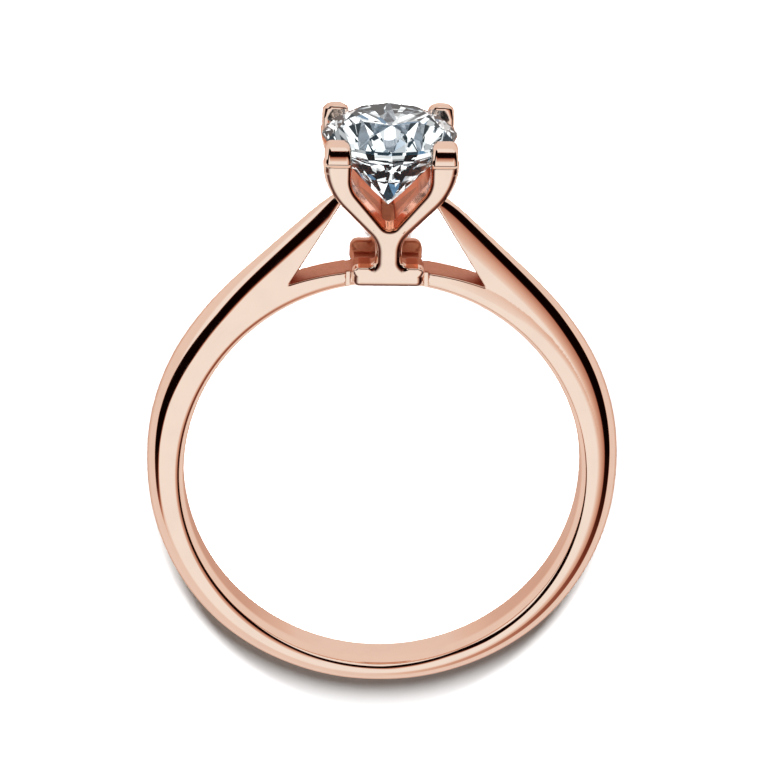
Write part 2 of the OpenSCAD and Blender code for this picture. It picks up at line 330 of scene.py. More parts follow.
# Each claw rises from an arm's top, and its front bends in over the stone's edge
CLAW_X = (ARM_HALF + GAP_HALF) / 2 - 0.03
CLAW_HALF = 0.56
CLAW_FRONT_Z = LEDGE_Z - 0.16
CLAW_BACK_Z = 1.72
CLAW_ROOT_Y = LEDGE_Y - 0.3
CLAW_BEND_Y = 14.19
CLAW_BEND_R = 1.25
CLAW_BEND_TURN = math.radians(40)
CLAW_TIP_R = 0.6
CLAW_REAR_RISE = 0.42
CLAW_SIDE_ROUND = 0.2
CLAW_FRONT_TIP_ROUND = 0.3
CLAW_REAR_TIP_ROUND = 0.5
claw_shift = CLAW_BEND_R - CLAW_TIP_R
CLAW_TIP_Y = CLAW_BEND_Y + claw_shift * math.sin(CLAW_BEND_TURN)
CLAW_TIP_Z = CLAW_FRONT_Z - CLAW_BEND_R + claw_shift * math.cos(CLAW_BEND_TURN)
CLAW_TOP_Y = CLAW_TIP_Y + CLAW_TIP_R


def claw_distance(x, y, z, rise=0):
    """A claw, whose tip stands higher by the rise."""
    root = CLAW_ROOT_Y - y
    y = y - rise
    bend = np.hypot(y - CLAW_BEND_Y, z - (CLAW_FRONT_Z - CLAW_BEND_R)) - CLAW_BEND_R
    tip = np.hypot(y - CLAW_TIP_Y, z - CLAW_TIP_Z) - CLAW_TIP_R
    turn = np.arctan2(y - CLAW_TIP_Y, z - CLAW_TIP_Z)
    front = np.where(y < CLAW_BEND_Y, z - CLAW_FRONT_Z, np.where(turn < CLAW_BEND_TURN, bend, tip))
    behind = z < CLAW_TIP_Z
    low = np.maximum(y - CLAW_TOP_Y, z - CLAW_FRONT_Z)
    front = np.where(behind & (y > CLAW_TIP_Y), y - CLAW_TOP_Y, front)
    front = np.where(behind & (y <= CLAW_TIP_Y), low, front)
    sides = np.abs(x - CLAW_X) - CLAW_HALF
    toward_tip = np.clip((y - CLAW_TIP_Y) / (CLAW_TOP_Y - CLAW_TIP_Y), 0, 1)
    tip_round = np.where(rise > 0, CLAW_REAR_TIP_ROUND, CLAW_FRONT_TIP_ROUND)
    rounding = CLAW_SIDE_ROUND + (tip_round - CLAW_SIDE_ROUND) * toward_tip
    walls = rounded_max(sides, rounded_max(front, CLAW_BACK_Z - z, CLAW_SIDE_ROUND), rounding)
    return np.maximum(walls, root)


def rail_distance(x, y, z):
    """The rail that joins the plates on one side, and the web below it under the stone."""
    across, down = WEB_X - RAIL_X, WEB_Y - RAIL_Y
    share = np.clip(((x - RAIL_X) * across + (y - RAIL_Y) * down) / (across ** 2 + down ** 2), 0, 1)
    web = np.hypot(x - RAIL_X - share * across, y - RAIL_Y - share * down) - WEB_R
    rail = np.hypot(x - RAIL_X, y - RAIL_Y) - RAIL_R
    return np.maximum(np.minimum(rail, web), z - RAIL_HALF)


BASE_HALF = 1.4
BASE_Z = 1.2
BASE_LOW = 8.64
BASE_HIGH = 9.32


def base_distance(x, y, z):
    """The block between the feet that joins them to the bridge."""
    flat = np.maximum(x - BASE_HALF, np.maximum(BASE_LOW - y, y - BASE_HIGH))
    return np.maximum(flat, z - BASE_Z)


def seat_distance(x, y, z):
    """The stone's place, with a gap all round."""
    reach = np.hypot(x, z)
    low, high = GIRDLE_Y - GIRDLE_T / 2, GIRDLE_Y + GIRDLE_T / 2
    crown_run = STONE_R - TABLE_R
    over = ((y - high) * crown_run + (reach - STONE_R) * STONE_CROWN) / math.hypot(crown_run, STONE_CROWN)
    under = ((low - y) * STONE_R + (reach - STONE_R) * PAVILION) / math.hypot(STONE_R, PAVILION)
    return np.maximum(np.maximum(over, under), np.maximum(reach - STONE_R, y - TABLE_Y)) - SEAT_GAP


def head_distance(x, y, z):
    """The head's parts together, without the fillets between them."""
    upper = np.minimum(claw_distance(x, y, z), rail_distance(x, y, z))
    return np.minimum(np.minimum(plate_distance(x, y, z), base_distance(x, y, z)), upper)


def metal_distance(points):
    """All the metal, which is the same on its left and right, front and back, but for the claws."""
    x, y, z = np.abs(points[:, 0]), points[:, 1], np.abs(points[:, 2])
    band = rounded_max(band_distance(x, y, z), -opening_distance(x, y), EDGE_ROUND)
    band = rounded_max(band, -seam_distance(x, y, z), SEAM_ROUND)
    rise = np.where(points[:, 2] < 0, CLAW_REAR_RISE, 0)
    head = rounded_min(plate_distance(x, y, z), claw_distance(x, y, z, rise), SMALL_ROUND)
    head = rounded_min(head, rail_distance(x, y, z), SOLDER_FILLET)
    head = rounded_min(head, base_distance(x, y, z), SOLDER_FILLET)
    metal = rounded_min(band, head, SOLDER_FILLET)
    return rounded_max(metal, -seat_distance(x, y, z), SEAM_ROUND)


# Meshing the metal


def gradient(points):
    """Direction in which the distance to the metal grows."""
    reach = 0.004
    corners = np.array([[1, 1, 1], [1, -1, -1], [-1, 1, -1], [-1, -1, 1]], float)
    total = np.zeros_like(points)
    for corner in corners:
        total += corner * metal_distance(points + reach * corner)[:, None]
    return total / np.maximum(np.linalg.norm(total, axis=1), 1e-12)[:, None]


def in_parts(function, points, size=200000):
    """A function's values at many points, worked out a part at a time to save memory."""
    return np.concatenate([function(points[i:i + size]) for i in range(0, len(points), size)])


def distance_grid(low, high, step):
    """The metal's distance on a grid, worked out only in the blocks that its surface crosses.

    The slack allows for distances that are a little off away from the surface."""
    side = 8
    blocks = np.ceil((high - low) / (step * side)).astype(int)
    values = np.ones(blocks * side + 1)
    slack = 1.35
    reach = slack * step * side * math.sqrt(3) / 2
    starts = np.stack(np.meshgrid(*[np.arange(n) * side for n in blocks], indexing="ij"), -1).reshape(-1, 3)
    middles = low + (starts + side / 2) * step
    centre = in_parts(metal_distance, middles)
    offsets = np.stack(np.meshgrid(*[np.arange(side + 1)] * 3, indexing="ij"), -1).reshape(-1, 3)
    for start, value in zip(starts, centre):
        if value < -reach:
            x, y, z = start
            values[x:x + side + 1, y:y + side + 1, z:z + side + 1] = -1
    crossed = starts[np.abs(centre) <= reach]
    cells = (crossed[:, None, :] + offsets[None]).reshape(-1, 3)
    near = in_parts(metal_distance, low + cells * step)
    values[cells[:, 0], cells[:, 1], cells[:, 2]] = near
    return values


def surface_net(values, low, step):
    """Points and four-sided faces where the grid's values change sign."""
    inside = values < 0
    size = np.array(values.shape) - 1

    def corner(array, i, j, k):
        return array[i:i + size[0], j:j + size[1], k:k + size[2]]

    count = sum(corner(inside, i, j, k).astype(np.uint8) for i in (0, 1) for j in (0, 1) for k in (0, 1))
    cells = np.argwhere((count > 0) & (count < 8))
    number = np.full(size, -1)
    number[tuple(cells.T)] = np.arange(len(cells))
    total = np.zeros((len(cells), 3))
    crossings = np.zeros(len(cells))
    faces = []
    for axis in range(3):
        others = [n for n in range(3) if n != axis]
        for first in (0, 1):
            for second in (0, 1):
                start = np.zeros(3, int)
                start[others[0]], start[others[1]] = first, second
                end = start.copy()
                end[axis] = 1
                a = values[tuple((cells + start).T)]
                b = values[tuple((cells + end).T)]
                cut = (a < 0) != (b < 0)
                share = np.where(cut, a / np.where(cut, a - b, 1), 0)
                spot = start + share[:, None] * (end - start)
                total += np.where(cut[:, None], spot, 0)
                crossings += cut
        near = np.take(inside, np.arange(size[axis]), axis)
        far = np.take(inside, np.arange(1, size[axis] + 1), axis)
        edges = np.argwhere(near != far)
        edges = edges[(edges[:, others[0]] > 0) & (edges[:, others[1]] > 0)]
        edges = edges[(edges[:, others[0]] < size[others[0]]) & (edges[:, others[1]] < size[others[1]])]
        ring = []
        for first, second in ((0, 0), (1, 0), (1, 1), (0, 1)):
            cell = edges.copy()
            cell[:, others[0]] -= first
            cell[:, others[1]] -= second
            ring.append(number[tuple(cell.T)])
        quads = np.stack(ring, 1)
        turn = inside[tuple(edges.T)] == (axis == 1)
        quads[turn] = quads[turn][:, ::-1]
        faces.append(quads)
    points = low + (cells + total / crossings[:, None]) * step
    return points, np.concatenate(faces)


def settle(points, rounds=4):
    """Moves points onto the metal's surface and gives the surface's normals there."""
    for _ in range(rounds):
        away = in_parts(metal_distance, points)
        points = points - in_parts(gradient, points) * away[:, None]
    return points, in_parts(gradient, points)


# How much of the satin finish and the painted shade, a darker red-brown colour, the arms' inner sides and
# the claws' backs get
HALF_SATIN_AND_SHADE = 0.35
CLAW_BACK_SATIN_AND_SHADE = 0.1
# Heights along a plate: its edges are satin and painted dark as shade below the first, the metal between the
# plates has painted bounce light above the second, and the foot's top edge is between the last two
STEM_POLISH_V = 2.2
PAINTED_BOUNCE_V = 2.6
FOOT_TOP_LOW = 0.75
FOOT_TOP_HIGH = 1.3
# How far into a plate, as shares of its thickness, its outward side and its edges reach
OUTWARD_SHARE = 0.6
STEM_SHARE = 0.4
INNER_SHARE = 0.82
# Where the finishes, the painted shade and the painted dark reflection on the edges start or end
WINDOW_LOW_R = HOLE_R + 0.3
FOOT_TOP_X = STEM_HALF + 0.2
OUTWARD_TOP_Y = LEDGE_Y - 0.05
BETWEEN_TOP_Y = LEDGE_Y - 0.1
CLAW_BACK_END_Z = CLAW_BACK_Z + 0.15
# How near a point lies to the form that it belongs to
ON_PLATE = 0.01
NEAR_BASE = 0.03
NEAR_SEAT = 0.04
NEAR_OUTLINE = 0.1
# How far from the windows' walls their satin finish and painted shade end, and how far before that they
# start to fade
WINDOW_END = 0.06
WINDOW_FADE = 0.05


def finish_masks(points):
    """Where the metal is a head plate's outward side, where it is satin and painted darker as shade, and
    where it has painted bounce light.
    """
    x, y, z = np.abs(points[:, 0]), points[:, 1], np.abs(points[:, 2])
    depth = (z - FOOT_Z) * math.cos(PLATE_LEAN) - (y - FOOT_Y) * math.sin(PLATE_LEAN)
    on_plate = np.abs(plate_distance(x, y, z)) < ON_PLATE
    in_window = np.clip((WINDOW_END - opening_distance(x, y)) / WINDOW_FADE, 0, 1)
    in_window = in_window * (np.hypot(x, y) > WINDOW_LOW_R)
    in_head = head_distance(x, y, z) < band_distance(x, y, z)
    height = (y - FOOT_Y) * math.cos(PLATE_LEAN) + (z - FOOT_Z) * math.sin(PLATE_LEAN)
    outline, rounding = outline_distance(x, height)
    foot_top = (height > FOOT_TOP_LOW) & (height < FOOT_TOP_HIGH) & (x > FOOT_TOP_X)
    outward = on_plate & (depth > -OUTWARD_SHARE * PLATE_T) & (y < OUTWARD_TOP_Y) & ~foot_top
    on_edge = on_plate & (outline > -NEAR_OUTLINE)
    inner_side = on_edge & (rounding == PLATE_INNER_ROUND)
    stem_side = on_edge & (height < STEM_POLISH_V) & (depth < -STEM_SHARE * PLATE_T)
    between = (depth < -INNER_SHARE * PLATE_T) & (y < BETWEEN_TOP_Y)
    # These parts are rough, and are also painted darker and redder as shade: between the plates, at the
    # stem's foot, round the base and on the claws' backs by the stone
    rough = between | stem_side | (base_distance(x, y, z) < NEAR_BASE)
    claw_back = (y > LEDGE_Y) & ((z < CLAW_BACK_END_Z) | (seat_distance(x, y, z) < NEAR_SEAT))
    head_satin_and_shade = np.maximum(rough, np.maximum(HALF_SATIN_AND_SHADE * inner_side, CLAW_BACK_SATIN_AND_SHADE * claw_back))
    satin_and_shade = np.where(in_head, head_satin_and_shade, in_window)
    # Painted orange bounce light on the arms' inner sides and high up between the plates
    painted_bounce = in_head & (inner_side | (between & (height > PAINTED_BOUNCE_V)))
    return outward * np.sign(points[:, 2]), satin_and_shade, painted_bounce


def add_mesh(name, points, faces):
    """A piece from points in the ring's axes and faces with any number of corners."""
    mesh = bpy.data.meshes.new(name)
    mesh.vertices.add(len(points))
    mesh.vertices.foreach_set("co", to_row(points).astype(np.float32).ravel())
    sizes = np.array([len(face) for face in faces])
    corners = np.concatenate(faces)
    mesh.loops.add(len(corners))
    mesh.loops.foreach_set("vertex_index", corners.astype(np.int32))
    mesh.polygons.add(len(sizes))
    mesh.polygons.foreach_set("loop_start", (np.cumsum(sizes) - sizes).astype(np.int32))
    mesh.update(calc_edges=True)
    mesh.validate()
    mesh.polygons.foreach_set("use_smooth", [False] * len(mesh.polygons))
    piece = bpy.data.objects.new(name, mesh)
    bpy.context.scene.collection.objects.link(piece)
    return piece


def add_metal(name, points, faces, normals):
    """A smooth piece of metal, with its finish, its painted shade and its painted bounce light kept at its
    points.
    """
    piece = add_mesh(name, points, faces)
    mesh = piece.data
    mesh.polygons.foreach_set("use_smooth", [True] * len(mesh.polygons))
    mesh.normals_split_custom_set_from_vertices(normals @ ring_axes)
    for label, values in zip(("plate_side", "satin_and_shade", "painted_bounce"), finish_masks(points)):
        layer = mesh.attributes.new(label, "FLOAT", "POINT")
        layer.data.foreach_set("value", values.astype(np.float32))
    return piece


GRID_STEP = 0.05
METAL_HALF_X = 10.2
METAL_LOW_Y = -9.8
METAL_HIGH_Y = 15.6
# Angle round the ring from the bottom of the band where the shoulders' pieces start
SHOULDER_START = 110


def make_metal():
    """The metal's pieces, which share the rows of points where they meet."""
    margin = 3 * GRID_STEP
    low = np.array([-METAL_HALF_X, METAL_LOW_Y, -LEDGE_Z]) - margin
    high = np.array([METAL_HALF_X, METAL_HIGH_Y, LEDGE_Z]) + margin
    points, faces = surface_net(distance_grid(low, high, GRID_STEP), low, GRID_STEP)
    points, normals = settle(points)
    middle = points[faces].mean(1)
    x, y, z = np.abs(middle[:, 0]), middle[:, 1], np.abs(middle[:, 2])
    in_head = head_distance(x, y, z) < band_distance(x, y, z)
    in_shoulder = np.degrees(np.arctan2(x, -y)) > SHOULDER_START
    on_left = middle[:, 0] < 0
    pieces = []
    for name, chosen in (
        ("head", in_head),
        ("left_shoulder", in_shoulder & on_left & ~in_head),
        ("right_shoulder", in_shoulder & ~on_left & ~in_head),
        ("left_band", ~in_shoulder & on_left & ~in_head),
        ("right_band", ~in_shoulder & ~on_left & ~in_head),
    ):
        used, local = np.unique(faces[chosen], return_inverse=True)
        pieces.append(add_metal(name, points[used], local.reshape(-1, 4), normals[used]))
    return pieces


# The stone: rings of points and the facets between them

STAR_REACH = 0.48
LOWER_REACH = 0.24
HALF_TURN = math.radians(22.5)


def facet_ring(r, y, start):
    """Eight points on a circle round the stone's axis."""
    angles = start + np.arange(8) * math.radians(45)
    return np.stack([r * np.cos(angles), np.full(8, y), r * np.sin(angles)], 1)


def make_stone():
    """The brilliant: a table, star, main and half facets, a thin girdle and a point."""
    high, low = GIRDLE_Y + GIRDLE_T / 2, GIRDLE_Y - GIRDLE_T / 2
    star_x = TABLE_R + STAR_REACH * (STONE_R - TABLE_R)
    lower_y = low - (1 - LOWER_REACH) * PAVILION
    points = np.concatenate([
        facet_ring(TABLE_R, TABLE_Y, 0),
        facet_ring(star_x / math.cos(HALF_TURN), TABLE_Y - STAR_REACH * STONE_CROWN, HALF_TURN),
        facet_ring(STONE_R, high, 0),
        facet_ring(STONE_R, high, HALF_TURN),
        facet_ring(STONE_R, low, 0),
        facet_ring(STONE_R, low, HALF_TURN),
        facet_ring(LOWER_REACH * STONE_R / math.cos(HALF_TURN), lower_y, HALF_TURN),
        [[0, low - PAVILION, 0]],
    ])
    table, star, upper_main, upper_half, lower_main, lower_half, break_ring, culet = range(0, 64, 8)
    faces = [[table + 7 - k for k in range(8)]]
    for k in range(8):
        n, p = (k + 1) % 8, (k + 7) % 8
        faces += [
            [table + n, star + k, table + k],
            [star + k, upper_main + k, star + p, table + k],
            [upper_half + k, upper_main + k, star + k],
            [upper_main + n, upper_half + k, star + k],
            [upper_half + k, lower_half + k, lower_main + k, upper_main + k],
            [upper_main + n, lower_main + n, lower_half + k, upper_half + k],
            [lower_half + k, break_ring + k, lower_main + k],
            [lower_main + n, break_ring + k, lower_half + k],
            [break_ring + k, culet, break_ring + p, lower_main + k],
        ]
    return add_mesh("brilliant", points, faces)


# Materials


class Graph:
    """Adds nodes to a tree. An entry is a number, a colour or another node's output."""

    def __init__(self, tree):
        self.tree = tree

    def node(self, kind, **settings):
        made = self.tree.nodes.new(kind)
        for name, value in settings.items():
            setattr(made, name, value)
        return made

    def feed(self, socket, entry):
        if isinstance(entry, tuple):
            socket.default_value = (*entry, 1)
        elif isinstance(entry, (int, float)):
            socket.default_value = entry
        else:
            self.tree.links.new(entry, socket)

    def number(self, operation, *entries):
        made = self.node("ShaderNodeMath", operation=operation)
        for socket, entry in zip(made.inputs, entries):
            self.feed(socket, entry)
        return made.outputs[0]

    def ramp(self, value, start, end, low=0.0, high=1.0, shape="SMOOTHSTEP"):
        """From low to high as the value goes from start to end."""
        made = self.node("ShaderNodeMapRange", interpolation_type=shape)
        names = ("Value", "From Min", "From Max", "To Min", "To Max")
        for name, entry in zip(names, (value, start, end, low, high)):
            self.feed(made.inputs[name], entry)
        return made.outputs["Result"]

    def rise(self, value, start, end):
        """From 0 to 1, evenly, as the value goes from start to end."""
        return self.ramp(value, start, end, shape="LINEAR")

    def blend(self, factor, first, second):
        made = self.node("ShaderNodeMix", data_type="RGBA")
        for slot, entry in ((0, factor), (6, first), (7, second)):
            self.feed(made.inputs[slot], entry)
        return made.outputs[2]

    def noise(self, place, scale, detail):
        made = self.node("ShaderNodeTexNoise")
        for name, entry in (("Vector", place), ("Scale", scale), ("Detail", detail)):
            self.feed(made.inputs[name], entry)
        return made.outputs["Fac"]

    def curve(self, position, points):
        """A curve through points, each in 0 to 1."""
        made = self.node("ShaderNodeFloatCurve")
        line = made.mapping.curves[0]
        for spot, (at, value) in enumerate(points):
            point = line.points[spot] if spot < 2 else line.points.new(at, value)
            point.location = (at, value)
        for point in line.points:
            point.handle_type = "VECTOR"
        made.mapping.update()
        self.feed(made.inputs["Value"], position)
        return made.outputs[0]


def new_material(name):
    """A material, its graph and its shader node."""
    material = bpy.data.materials.new(name)
    material.use_nodes = True
    return material, Graph(material.node_tree), material.node_tree.nodes["Principled BSDF"]


GOLD = (0.90, 0.69, 0.58)
# A darker, redder colour painted as shade on the satin parts between the plates, in the windows and behind
# the claws
SHADED_SATIN_GOLD = (0.62, 0.24, 0.135)
# An orange colour painted as light bounced between the gold faces inside the head
PAINTED_BOUNCE_GOLD = (0.87, 0.315, 0.17)
# A near-black colour painted as a dark reflection along the head plates' edges
PAINTED_REFLECTION_GOLD = (0.1, 0.022, 0.012)
# How much darker the gold is in the depth of its unevenness
GOLD_WEAR = 0.97
UNPOLISHED_WEAR = 0.92
# The colour and share that the gold has for light that has been in the stone
GOLD_IN_STONE = (0.40, 0.44, 0.48)
IN_STONE_SHARE = 0.97
# Light that hasn't been in the stone has a transmission depth below this
OUTSIDE_DEPTH = 0.5
# Least and most roughness
POLISHED = (0.035, 0.075)
SATIN = (0.39, 0.46)
# Scale and detail of the unevenness from casting and polishing, and of the unpolished grain,
# and the values of each between which the roughness and the colour change
CLOUD = (900, 4)
CLOUD_ROUGH = (0.35, 0.7)
CLOUD_WEAR = (0.35, 0.75)
GRAIN = (9000, 3)
GRAIN_ROUGH = (0.3, 0.7)
GRAIN_WEAR = (0.3, 0.75)
# Tilts from a head plate's face between which its edge is painted dark, as a painted reflection of dark
# surroundings
DARK_REFLECTION_TILTS = (13, 34, 41, 54)


def painted_edge_reflection(graph, plate_side):
    """The painted dark reflection round each head plate, where its edge turns away from its face."""
    normal = graph.node("ShaderNodeNewGeometry").outputs["Normal"]
    start, full, fade, end = (math.cos(math.radians(v)) for v in DARK_REFLECTION_TILTS)
    lines = []
    for side in (1, -1):
        face = np.array([0, -math.sin(PLATE_LEAN), side * math.cos(PLATE_LEAN)]) @ ring_axes
        along = graph.node("ShaderNodeVectorMath", operation="DOT_PRODUCT")
        graph.feed(along.inputs[0], normal)
        along.inputs[1].default_value = face
        tilt = along.outputs["Value"]
        line = graph.number("MULTIPLY", graph.ramp(tilt, end, fade), graph.ramp(tilt, full, start, 1.0, 0.0))
        here = graph.number("MAXIMUM", graph.number("MULTIPLY", plate_side, side), 0)
        lines.append(graph.number("MULTIPLY", here, line))
    return graph.number("ADD", *lines)


def rose_gold():
    """The metal, with a finish and a colour for each of the parts that its masks mark; some colours are
    painted shade, bounce light and dark reflection.
    """
    material, graph, shader = new_material("rose_gold")
    masks = [
        graph.node("ShaderNodeAttribute", attribute_name=name).outputs["Fac"]
        for name in ("plate_side", "satin_and_shade", "painted_bounce")
    ]
    plate_side, satin_and_shade, painted_bounce = masks
    place = graph.node("ShaderNodeTexCoord").outputs["Object"]
    cloud = graph.noise(place, *CLOUD)
    grain = graph.noise(place, *GRAIN)

    rough = graph.node("ShaderNodeMix", data_type="FLOAT")
    graph.feed(rough.inputs[0], satin_and_shade)
    graph.feed(rough.inputs[2], graph.ramp(cloud, *CLOUD_ROUGH, *POLISHED))
    graph.feed(rough.inputs[3], graph.ramp(grain, *GRAIN_ROUGH, *SATIN))
    graph.feed(shader.inputs["Roughness"], rough.outputs[0])

    worn = graph.blend(graph.ramp(cloud, *CLOUD_WEAR), GOLD, tuple(GOLD_WEAR * c for c in GOLD))
    dull_shaded_deep = tuple(UNPOLISHED_WEAR * c for c in SHADED_SATIN_GOLD)
    dull_shaded = graph.blend(graph.ramp(grain, *GRAIN_WEAR), SHADED_SATIN_GOLD, dull_shaded_deep)
    # Painted shade on the satin parts, and painted orange bounce light inside the head
    colour = graph.blend(painted_bounce, graph.blend(satin_and_shade, worn, dull_shaded), PAINTED_BOUNCE_GOLD)
    # Painted dark reflection along the head plates' edges
    colour = graph.blend(painted_edge_reflection(graph, plate_side), colour, PAINTED_REFLECTION_GOLD)
    depth = graph.node("ShaderNodeLightPath").outputs["Transmission Depth"]
    in_stone = graph.number("GREATER_THAN", depth, OUTSIDE_DEPTH)
    in_stone = graph.number("MULTIPLY", in_stone, IN_STONE_SHARE)
    colour = graph.blend(in_stone, colour, GOLD_IN_STONE)
    graph.feed(shader.inputs["Base Color"], colour)
    shader.inputs["Metallic"].default_value = 1
    return material


def diamond():
    material, graph, shader = new_material("diamond")
    shader.inputs["Base Color"].default_value = (1, 1, 1, 1)
    shader.inputs["Roughness"].default_value = 0
    shader.inputs["IOR"].default_value = 2.417
    shader.inputs["Specular Tint"].default_value = (0.08, 0.17, 0.25, 1)
    shader.inputs["Transmission Weight"].default_value = 1
    # A trace of light stands in for what many reflections inside the stone would bring back
    shader.inputs["Emission Color"].default_value = (0.75, 1, 1.15, 1)
    shader.inputs["Emission Strength"].default_value = 0.003
    material.cycles.emission_sampling = "NONE"
    return material


# The studio

FLOOR_HALF = 1.0
FLOOR_COLOUR = (0.9, 0.9, 0.9, 1)
# Distances from the middle between which the floor's glow grows, where the lamps don't reach
GLOW_START = 0.03
GLOW_FULL = 0.06


def make_floor():
    """The white floor, which isn't seen in the metal or through the stone."""
    half = FLOOR_HALF
    corners = [(-half, -half, 0), (half, -half, 0), (half, half, 0), (-half, half, 0)]
    mesh = bpy.data.meshes.new("floor")
    mesh.from_pydata(corners, [], [(0, 1, 2, 3)])
    floor = bpy.data.objects.new("floor", mesh)
    bpy.context.scene.collection.objects.link(floor)
    material, graph, shader = new_material("white_floor")
    shader.inputs["Base Color"].default_value = FLOOR_COLOUR
    shader.inputs["Roughness"].default_value = 0.7
    away = graph.node("ShaderNodeVectorMath", operation="LENGTH")
    graph.feed(away.inputs[0], graph.node("ShaderNodeTexCoord").outputs["Object"])
    shader.inputs["Emission Color"].default_value = (1, 1, 1, 1)
    glow = graph.rise(away.outputs["Value"], GLOW_START, GLOW_FULL)
    graph.feed(shader.inputs["Emission Strength"], glow)
    material.cycles.emission_sampling = "NONE"
    floor.data.materials.append(material)
    floor.visible_glossy = False
    floor.visible_transmission = False


# Dark screens round the sky, by the compass angle from +x towards +y. Columns: compass angle,
# angle from overhead where the shade starts, where it is full, where it ends, how full it is,
# and how dark the sky is straight below
screen_rows = [
    (-90, 60, 72, 97, 0.1, 0.2), (-75, 55, 72, 98, 0.32, 0.24), (-60, 50, 71, 99, 0.54, 0.25),
    (-45, 42, 71, 99, 0.7, 0.25), (-35, 38, 70, 98, 0.84, 0.24), (-25, 35, 69, 96, 0.96, 0.23),
    (-15, 28, 66, 97, 1, 0.22), (-5, 17, 61, 98, 1, 0.2), (5, 7, 58, 99, 1, 0.2),
    (15, 6, 54, 98, 1, 0.19), (25, 6, 51, 97, 1, 0.14), (35, 9, 46, 90, 1, 0.1),
    (45, 16, 43, 76, 1, 0.04), (60, 28, 34, 62, 1, 0.02), (90, 5, 27, 54, 1, 0.02),
    (120, 34, 45, 84, 1, 0.03), (135, 29, 33, 68, 1, 0.08), (145, 24, 27, 60, 1, 0.13),
    (155, 24, 27, 60, 1, 0.15), (165, 23, 28, 74, 1, 0.16), (175, 31, 36, 88, 1, 0.17),
    (185, 56, 59, 97, 1, 0.17), (195, 69, 72, 98, 1, 0.16), (205, 76, 81, 98, 0.88, 0.15),
    (215, 78, 86, 96, 0.2, 0.14), (225, 76, 86, 95, 0.12, 0.16), (250, 70, 84, 95, 0.1, 0.2),
]
SCREEN_EDGE = 3.5
HALF_LEVEL = 0.52
LOW_LEVEL = 0.87
# Columns: brightness of the sky, its colour there
sky_colours = [
    (0.0, (0.0035, 0.0008, 0.0005)), (0.1, (0.045, 0.010, 0.005)), (0.27, (0.2, 0.048, 0.026)),
    (0.45, (0.37, 0.15, 0.1)), (0.62, (0.6, 0.34, 0.25)), (0.8, (0.82, 0.62, 0.52)),
    (0.97, (1.0, 1.04, 1.03)),
]
# Brightness of the sky for the floor
FLOOR_LIGHT = 0.07
# Shares of the way from overhead to straight below between which the sky below dims
HORIZON = (0.41, 0.47)
NADIR = (0.72, 0.86)
# The screens round the stone: how many there are round it and from top to bottom, where each
# count starts, and the colours from dark to bright, with blue beyond
WEAVE_ROUND = (18 * math.pi, 0.7)
WEAVE_DOWN = (17 * math.pi, 0.4)
WEAVE_RISE = (-0.7, 0.22)
WEAVE_BLUE = (0.8, 0.9)
STONE_DARK = (0.01, 0.015, 0.018)
STONE_BRIGHT = (1.5, 1.62, 1.68)
STONE_BLUE = (0.10, 0.23, 0.38)


def screen_curve(column):
    """One column of the screens' rows as a closed curve round the compass, from 0 to 1."""
    points = sorted((row[0] % 360 / 360, row[column]) for row in screen_rows)
    first, last = points[0], points[-1]
    gap = first[0] + 1 - last[0]
    seam = last[1] + (first[1] - last[1]) * (1 - last[0]) / gap
    return [(0, seam)] + points + [(1, seam)]


def screen_level(graph, compass, overhead):
    """Brightness of the sky between its screens."""
    start, full, end = (
        graph.curve(compass, [(at, value / 180) for at, value in screen_curve(column)])
        for column in (1, 2, 3)
    )
    depth = graph.curve(compass, screen_curve(4))
    edge = SCREEN_EDGE / 180
    soft = graph.number("MULTIPLY", graph.rise(overhead, start, full), 1 - HALF_LEVEL)
    full_end = graph.number("ADD", full, edge)
    hard = graph.number("MULTIPLY", graph.rise(overhead, full, full_end), HALF_LEVEL)
    past = graph.rise(overhead, graph.number("SUBTRACT", end, edge), end)
    shade = graph.number("MULTIPLY", graph.number("ADD", soft, hard), graph.number("SUBTRACT", 1, past))
    below = graph.number("MULTIPLY", graph.rise(overhead, *HORIZON), 1 - LOW_LEVEL)
    nadir = graph.number("MULTIPLY", graph.rise(overhead, *NADIR), graph.curve(compass, screen_curve(5)))
    below = graph.number("ADD", below, nadir)
    dark = graph.number("MAXIMUM", graph.number("MULTIPLY", shade, depth), below)
    return graph.number("SUBTRACT", 1, dark)


def stone_sky(graph, compass, overhead):
    """The studio that shows through the stone, with narrow dark and blue screens."""
    across = graph.number("SINE", graph.number("MULTIPLY_ADD", compass, *WEAVE_ROUND))
    rings = graph.number("SINE", graph.number("MULTIPLY_ADD", overhead, *WEAVE_DOWN))
    weave = graph.number("MULTIPLY", across, rings)
    sky = graph.blend(graph.rise(weave, *WEAVE_RISE), STONE_DARK, STONE_BRIGHT)
    return graph.blend(graph.rise(weave, *WEAVE_BLUE), sky, STONE_BLUE)


